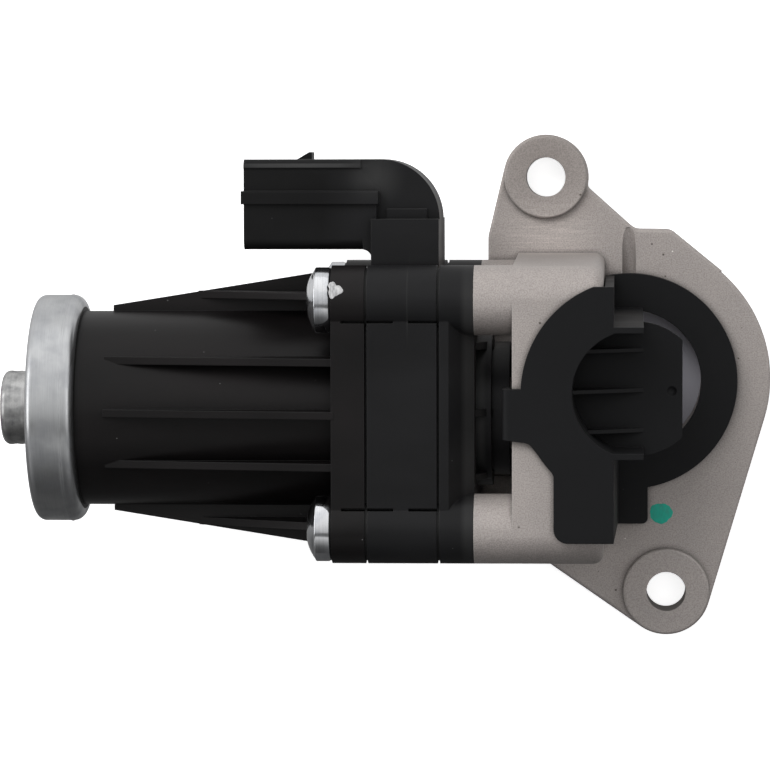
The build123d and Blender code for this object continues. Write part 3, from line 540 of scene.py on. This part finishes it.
def turnedPoints(profile, centreY, centreZ, steps):
    # every (x, r) of the profile goes round X: (x, cy + r cos t, cz + r sin t)
    turn = np.linspace(0, 2 * np.pi, steps, endpoint=False)
    x = np.repeat(profile[:, :1], steps, 1)
    y = centreY + profile[:, 1:] * np.cos(turn)
    z = centreZ + profile[:, 1:] * np.sin(turn)
    return np.stack([x, y, z], -1)


# Moulded and cast bodies
smoothed = {
    "valve_casting": "castBlock",
    "adapter_flange": "adapterBody",
    "terminal_housing": "terminalBody",
    "motor_housing": "motorBarrel",
    "port_guard": "portGuard",
    "cap_seal": "capSeal",
}
for nodeName, pieceName in smoothed.items():
    smoothCopy(nodeName, pieceName)
print("bodies smoothed:", len(smoothed))


# Return spring

def returnSpring():
    # a smooth-shaded copy with a mesh of its own; in the real valve the retainer presses it together as the
    # valve opens, by as much as the valve travels
    spring = smoothCopy("return_spring", "returnSpring")
    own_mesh(spring)


returnSpring()


# Connector: its moulded corners along X, with the Y, Z and radius of each
shroudRounds = (
    (30.1 * mm, 50.0 * mm, 2.2 * mm),
    (48.8 * mm, 50.5 * mm, 1.2 * mm),
    (42.22 * mm, 51.3 * mm, 0.35 * mm),
)


def roundAlong(pieceName, rounds):
    # the edges along X at each Y and Z are rolled over with the given radius
    mesh = bpy.data.objects[pieceName].data
    slack = 0.03 * mm
    work = bmesh.new()
    work.from_mesh(mesh)
    for y, z, radius in rounds:
        close = [edge for edge in work.edges
                 if all(abs(v.co.y - y) < slack and abs(v.co.z - z) < slack for v in edge.verts)]
        bmesh.ops.bevel(work, geom=close, offset=radius, segments=6, profile=0.5, affect="EDGES")
    keepSharp(work)
    work.to_mesh(mesh)
    work.free()


roundAlong("terminalBody", shroudRounds)


# End cap
cap = {
    "short": 0.9 * mm,  # how much the drawn cap is shorter than its solid
    "grow": 0.2 * mm,
    "edge": 1.9 * mm,
    "roll": 2.4 * mm,
    "wall": 1.2 * mm,
    "mouth": 21.4 * mm,
    "crimped": 20.3 * mm,  # what lies outside this radius is held by the rolled rim
    "holeShare": 0.7136,  # of the cup flange's radius
    "stepRadius": 15.5 * mm,
    "stepWidth": 1.2 * mm,
    "stepDepth": 0.5 * mm,
    "beadAt": 0.745,
    "beadWidth": 0.35 * mm,
    "bead": 0.12 * mm,
}


def endCap():
    # profile of the drawn cap, carried round X: face with a shallow step, edge, wall, rolled rim, inside
    left, right = capLow.x, capHigh.x - cap["short"]
    outer = (capHigh.y - capLow.y) / 2 + cap["grow"]
    cupLow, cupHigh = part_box("bearing_cup")
    hole = (cupHigh.y - cupLow.y) / 2 * cap["holeShare"]
    wall, bead, edge, roll = cap["wall"], cap["bead"], cap["edge"], cap["roll"]
    floorX, foot = left + cap["stepDepth"], cap["stepRadius"] - cap["stepWidth"]
    rise = np.linspace(0, np.pi, 9)
    ease = np.stack([left + cap["stepDepth"] * (1 + np.cos(rise)) / 2,
                     foot + cap["stepWidth"] * rise / np.pi], 1)
    inside = np.array([
        (right, cap["mouth"]), (right - wall, cap["mouth"]), (right - wall, outer - 2.2 * wall),
        (right - 1.6 * wall, outer - wall), (left + 3 * wall, outer - wall), (left + wall, outer - 3 * wall),
        (left + wall, hole),
    ])
    # the drawn side ends in a fine bead where the crimp begins: radius + bead exp(-(x - at)^2 / width^2)
    side = np.linspace(left + edge, right - roll, 60)[1:-1]
    crest = left + cap["beadAt"] * (right - left)
    swell = bead * (np.exp(-((side - crest) / cap["beadWidth"]) ** 2) - 1)
    profile = np.concatenate([
        np.array([(floorX, hole), (floorX, foot)]),
        ease,
        arc(left + edge, outer - bead - edge, edge, 180, 90, 14),
        np.stack([side, outer + swell], 1),
        arc(right - roll, outer - bead - roll, roll, 90, 0, 12),
        inside,
    ])
    mesh = gridMesh("endCap", turnedPoints(profile, axisY, axisZ, 160), closeRows=True, closeColumns=True)
    return addPiece("endCap", mesh, finishes["zinc_steel"], "housing", ("end_cap",))


def sinkIntoCap(pieceName, end):
    # what the rim holds moves into the shorter cap: x - short where x is left of end and the radius is
    # over the crimped one
    mesh = bpy.data.objects[pieceName].data
    points = np.empty(len(mesh.vertices) * 3)
    mesh.vertices.foreach_get("co", points)
    points = points.reshape(-1, 3)
    radius = np.hypot(points[:, 1] - axisY, points[:, 2] - axisZ)
    rim = (radius > cap["crimped"]) & (points[:, 0] < end)
    points[:, 0] -= cap["short"] * rim
    mesh.vertices.foreach_set("co", points.ravel())
    mesh.update()


sinkIntoCap("motorBarrel", capHigh.x - 1 * mm)
sinkIntoCap("capSeal", capHigh.x + 1 * mm)
endCap()


# Bearing cup in the middle of the cap
cup = {
    "edge": 1.5 * mm,
    "radius": 7.85 * mm,
    "dimple": 3.2 * mm,
    "dimpleDepth": 0.5 * mm,
    "waist": 0.12 * mm,
    "sidePoints": 12,
}


def bearingCup():
    # outside of the cup from its dimpled tip to the flange inside the cap, then back to a closed pole
    low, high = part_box("bearing_cup")
    tip, edge, radius = low.x, cup["edge"], cup["radius"]
    dimple = np.linspace(0, np.pi, 9)
    dish = np.stack([tip + cup["dimpleDepth"] * (1 + np.cos(dimple)) / 2, cup["dimple"] * dimple / np.pi], 1)
    side = np.linspace(tip + edge + 0.3 * mm, capLow.x, cup["sidePoints"])
    waist = radius - cup["waist"] * np.sin(np.linspace(0, 3 * np.pi, cup["sidePoints"])) ** 2
    flangeX, flangeRadius = capLow.x + cap["wall"], high.y - axisY
    profile = np.concatenate([
        dish,
        arc(tip + edge, radius - edge, edge, 180, 90, 10),
        np.stack([side, waist], 1),
        np.array([(flangeX, radius), (flangeX, flangeRadius), (high.x, flangeRadius), (high.x, 0.0)]),
    ])
    mesh = gridMesh("bearingCup", turnedPoints(profile, axisY, axisZ, 96), closeColumns=True)
    return addPiece("bearingCup", mesh, finishes["cup_steel"], "housing", ("bearing_cup",))


bearingCup()


# Housing screws
screw = {
    "domeHeight": 2.0 * mm,
    "domeBase": 6.45 * mm,
    "domeFrom": 0.42,
    "domeCurve": 2.4,
    "head": 6.8 * mm,
    "corner": 0.35 * mm,
    "washer": 0.5 * mm,
    "seat": 6.9 * mm,  # from the motor flange's right face to under the head
    "socket": 2.9 * mm,
    "socketDepth": 2.2 * mm,
    "lobe": 0.13,
    "shank": 3.0 * mm,
    "steps": 96,
}


def housingScrews():
    # one screw's profile from its socket's floor over the dome and band to the shank's tip;
    # inside the socket the radius is wavy, r (1 + lobe cos 6t), which gives the six lobes
    low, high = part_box("housing_screws")
    tip, end = low.x, high.x
    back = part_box("motor_housing")[1].x - screw["seat"]
    offset = (high.y - low.y) / 2 - screw["head"]
    head, shank, corner = screw["head"], screw["shank"], screw["corner"]
    dome = np.linspace(screw["domeFrom"], 1, 14)
    domeX = tip + screw["domeHeight"] * dome ** screw["domeCurve"]
    bottom = domeX[0] + screw["socketDepth"]
    profile = np.concatenate([
        np.array([(bottom, 0.0), (bottom, screw["socket"] * 0.85),
                  (domeX[0] + 0.2 * mm, screw["socket"] * 0.9)]),
        np.stack([domeX, screw["domeBase"] * dome], 1),
        arc(tip + screw["domeHeight"] + corner, head - corner, corner, 160, 90, 5),
        np.array([(back - screw["washer"] - 0.2 * mm, head), (back - screw["washer"], head - 0.15 * mm),
                  (back, head - 0.2 * mm), (back, shank), (end - 1 * mm, shank),
                  (end, shank - 1 * mm), (end, 0.0)]),
    ])
    points = turnedPoints(profile, 0, 0, screw["steps"])
    turn = np.linspace(0, 2 * np.pi, screw["steps"], endpoint=False)
    points[1:3, :, 1:] *= (1 + screw["lobe"] * np.cos(6 * turn))[:, None]
    work = bmesh.new()
    for sideY in (-1, 1):
        for sideZ in (-1, 1):
            centre = np.array([0, axisY + sideY * offset, axisZ + sideZ * offset])
            work.from_mesh(gridMesh("screw", points + centre, closeColumns=True))
    mesh = bpy.data.meshes.new("housingScrews")
    work.to_mesh(mesh)
    work.free()
    mesh.shade_smooth()
    finish = finishes["screw_steel"]
    return addPiece("housingScrews", mesh, finish, "housing", ("housing_screws",))


housingScrews()
print("cap, cup and screws made")


# Green paint dot on the flange, and the pale smear beside the upper front screw
dot = {
    "x": 11.9 * mm, "y": -28.0 * mm, "flange": 9.0 * mm,
    "radius": 2.45 * mm, "flat": 0.90, "thick": 0.09 * mm,
    "light": (0.002, 0.44, 0.32), "dark": (0.002, 0.34, 0.245), "roughness": (0.42, 0.57),
}
smear = {
    "x": -55.1 * mm, "offset": 23.5 * mm, "boss": 7.2 * mm,
    "length": 3.1 * mm, "turn": 71.0, "width": 31.0, "thick": 0.06 * mm,
    "light": (0.62, 0.62, 0.62), "dark": (0.28, 0.28, 0.285), "roughness": (0.45, 0.60),
}


def paintFinish(name, look):
    # a dab of paint: cloudy and rippled by the brush
    finish, tree, shader, place = newFinish(name)
    ripple = grain(tree, place, 0.5 * mm, 3, (1, 0.35, 1))
    tree.links.new(blend(tree, ripple, look["dark"], look["light"], 0.3, 0.7), shader.inputs["Base Color"])
    tree.links.new(blend(tree, ripple, *look["roughness"]), shader.inputs["Roughness"])
    bumps(tree, shader, [(ripple, 0.03 * mm)])
    return finish


def paintDot():
    # a polar grid: radius R (1 + small waves of the angle), height thick (1 - rho^4)
    rho = np.linspace(0, 1, 14)[:, None]
    turn = np.linspace(0, 2 * np.pi, 72, endpoint=False)[None, :]
    edge = 1 + 0.045 * np.sin(3 * turn + 0.6) + 0.03 * np.sin(5 * turn + 2.1) + 0.018 * np.sin(11 * turn)
    reach = dot["radius"] * rho * edge
    x = dot["x"] + reach * np.cos(turn)
    y = dot["y"] + dot["flat"] * reach * np.sin(turn)
    height = dot["flange"] + dot["thick"] * (1 - rho ** 4) + 0 * turn
    mesh = gridMesh("paintDot", np.stack([x, y, height], -1), closeColumns=True)
    return addPiece("paintDot", mesh, paintFinish("greenPaint", dot), "housing")


def paintSmear():
    # a patch wrapped on the boss: (s, t) in the unit disc, s along X and t round the boss
    rho = np.linspace(0, 1, 12)[:, None]
    turn = np.linspace(0, 2 * np.pi, 64, endpoint=False)[None, :]
    edge = 0.86 + 0.20 * np.cos(3 * turn) + 0.06 * np.sin(2 * turn + 1.0) + 0.05 * np.sin(7 * turn + 0.4)
    s = rho * edge * np.cos(turn) * smear["length"] / 2
    t = np.radians(smear["turn"] + rho * edge * np.sin(turn) * smear["width"] / 2)
    reach = smear["boss"] + smear["thick"] * (1 - rho ** 3)
    y = axisY + smear["offset"] + reach * np.cos(t)
    z = axisZ + smear["offset"] + reach * np.sin(t)
    mesh = gridMesh("paintSmear", np.stack([smear["x"] + s, y, z], -1), closeColumns=True)
    return addPiece("paintSmear", mesh, paintFinish("palePaint", smear), "housing")


paintDot()
paintSmear()
print("paint marks made")


# Floor and world
studio = {
    "floor": 0.90,
    "floorGlow": 0.75,
    "floorSize": 1.6,
    "floorDrop": 0.2 * mm,
    "floorMirrored": (0.03, 0.70),  # how metal shows the floor, under the part's middle line and over it
    "floorTurn": 0.06,
    "mirroredFloor": 0.06,
    "portAt": (5.6 * mm, 0.9 * mm, 0),
    "portShade": 17.5 * mm,
    # painted shade: the floor's colour under the port
    "portFloorShade": (0.395, 0.39, 0.43),
    # what metal sees of the room: height from -1 to 1, and tone
    "mirrored": ((-1.0, 0.05), (-0.85, 0.12), (-0.62, 0.38), (-0.46, 0.60), (-0.38, 0.13), (-0.24, 0.13),
                 (-0.17, 0.46), (0.05, 0.62), (0.35, 0.80), (0.7, 0.95), (1.0, 1.1)),
    "fill": (0.08, 0.46),  # light on everything else, from low Y to high Y
}
white = (1.0, 1.0, 1.0)


def floorFinish():
    # pale floor that keeps the shadow, lifted to white for what sees it, with a painted shade under the port
    finish, tree, shader, place = newFinish("paleFloor")
    shader.inputs["Roughness"].default_value = 0.8
    shader.inputs["Specular IOR Level"].default_value = 0.1
    path = tree.nodes.new("ShaderNodeLightPath").outputs
    turn = studio["floorTurn"]
    side = remapped(tree, along(tree, place, "Y"), -turn, turn, *studio["floorMirrored"])
    pale = mixColours(tree, path["Is Glossy Ray"], (studio["floor"],) * 3, (studio["mirroredFloor"],) * 3)
    glow = mixColours(tree, path["Is Glossy Ray"], (0.0, 0.0, 0.0), side)
    glow = mixColours(tree, path["Is Transmission Ray"], glow, (studio["floorGlow"],) * 3)
    glow = mixColours(tree, path["Is Camera Ray"], glow, (studio["floorGlow"],) * 3)
    # the floor seen through the port is not lifted to white and is painted darker: a painted shade
    away = vectorMath(tree, "DISTANCE", place, studio["portAt"])
    shade = blend(tree, away, 0.0, 1.0, studio["portShade"], studio["portShade"] + 0.5 * mm)
    tree.links.new(mixColours(tree, shade, studio["portFloorShade"], pale), shader.inputs["Base Color"])
    tree.links.new(multiplied(tree, glow, shade), shader.inputs["Emission Color"])
    shader.inputs["Emission Strength"].default_value = 1.0
    return finish


def addFloor():
    size, drop = studio["floorSize"], studio["floorDrop"]
    corners = [(-size, -size, -drop), (size, -size, -drop), (size, size, -drop), (-size, size, -drop)]
    mesh = bpy.data.meshes.new("floor")
    mesh.from_pydata(corners, [], [(0, 1, 2, 3)])
    mesh.materials.append(floorFinish())
    ground = bpy.data.objects.new("floor", mesh)
    scene.collection.objects.link(ground)


def addWorld():
    # white where it is seen, brightest over the top edge where it is mirrored, and a soft fill from above
    room = bpy.data.worlds.new("studio")
    scene.world = room
    room.use_nodes = True
    tree = room.node_tree
    tree.nodes.clear()
    output = tree.nodes.new("ShaderNodeOutputWorld")
    sky = tree.nodes.new("ShaderNodeBackground")
    direction = tree.nodes.new("ShaderNodeTexCoord").outputs["Generated"]
    height = remapped(tree, along(tree, direction, "Y"), -1.0, 1.0, 0.0, 1.0)
    ramp = tree.nodes.new("ShaderNodeValToRGB")
    stops = ramp.color_ramp.elements
    for extra in range(len(studio["mirrored"]) - 2):
        stops.new(0.5)
    for stop, (at, tone) in zip(stops, studio["mirrored"]):
        stop.position = (at + 1) / 2
        stop.color = (tone, tone, tone, 1)
    tree.links.new(height, ramp.inputs["Fac"])
    path = tree.nodes.new("ShaderNodeLightPath").outputs
    fill = blend(tree, height, *studio["fill"], 0.0, 1.0)
    lit = mixColours(tree, path["Is Glossy Ray"], fill, ramp.outputs["Color"])
    lit = mixColours(tree, path["Is Transmission Ray"], lit, white)
    lit = mixColours(tree, path["Is Camera Ray"], lit, white)
    tree.links.new(lit, sky.inputs["Color"])
    tree.links.new(sky.outputs[0], output.inputs["Surface"])


def lookAt(thing, place, target, roll=0.0):
    # local Z points away from the target, and local X lies level, then both turn by roll
    place, target = np.array(place), np.array(target)
    forward = (target - place) / np.linalg.norm(target - place)
    right = np.cross(forward, (0, 1, 0) if abs(forward[1]) < 0.95 else (0, 0, 1))
    right /= np.linalg.norm(right)
    up = np.cross(right, forward)
    matrix = np.eye(4)
    matrix[:3, 0] = math.cos(roll) * right + math.sin(roll) * up
    matrix[:3, 1] = math.cos(roll) * up - math.sin(roll) * right
    matrix[:3, 2] = -forward
    matrix[:3, 3] = place
    thing.matrix_world = Matrix(matrix.tolist())


# Lamps
lamps = {
    "keySoftbox": {"place": (-0.60, 0.90, 1.50), "size": (1.2, 0.8), "power": 18.0, "mirrored": False},
    "frontSoftbox": {"place": (0.10, 0.00, 1.25), "size": (0.7, 0.5), "power": 3.2, "mirrored": False},
    "lowSoftbox": {"place": (-0.75, 0.28, 0.22), "size": (0.35, 0.35), "power": 1.6, "mirrored": False},
    "leftSoftbox": {"place": (-0.75, 0.10, 0.25), "size": (0.35, 0.6), "power": 0.9, "mirrored": True},
    "rightSoftbox": {"place": (0.70, 0.10, 0.45), "size": (0.35, 0.8), "power": 0.4, "mirrored": True},
}


def addLamps():
    # metal mirrors the room and the side lamps alone, so no hard white patch shows on the round parts
    middle = (-0.045, 0.0, 0.03)
    for name, lamp in lamps.items():
        light = bpy.data.lights.new(name, "AREA")
        light.shape = "RECTANGLE"
        light.size, light.size_y = lamp["size"]
        light.energy = lamp["power"]
        holder = bpy.data.objects.new(name, light)
        holder.visible_glossy = lamp["mirrored"]
        scene.collection.objects.link(holder)
        lookAt(holder, lamp["place"], middle)


# Camera
cameraFit = {
    "place": (3.93 * mm, 48.5 * mm, 913.4 * mm),
    "target": (-46.76 * mm, 0.92 * mm, 30.0 * mm),
    "roll": -0.0023,
    "lens": 195.2,
}


def addCamera():
    camera = bpy.data.cameras.new("camera")
    camera.sensor_width = 36.0
    camera.lens = cameraFit["lens"]
    camera.clip_start, camera.clip_end = 0.01, 10
    holder = bpy.data.objects.new("camera", camera)
    scene.collection.objects.link(holder)
    lookAt(holder, cameraFit["place"], cameraFit["target"], cameraFit["roll"])
    scene.camera = holder


addFloor()
addWorld()
addLamps()
addCamera()
scene.view_settings.view_transform = "Standard"
print("studio made")

bpy.context.view_layer.update()
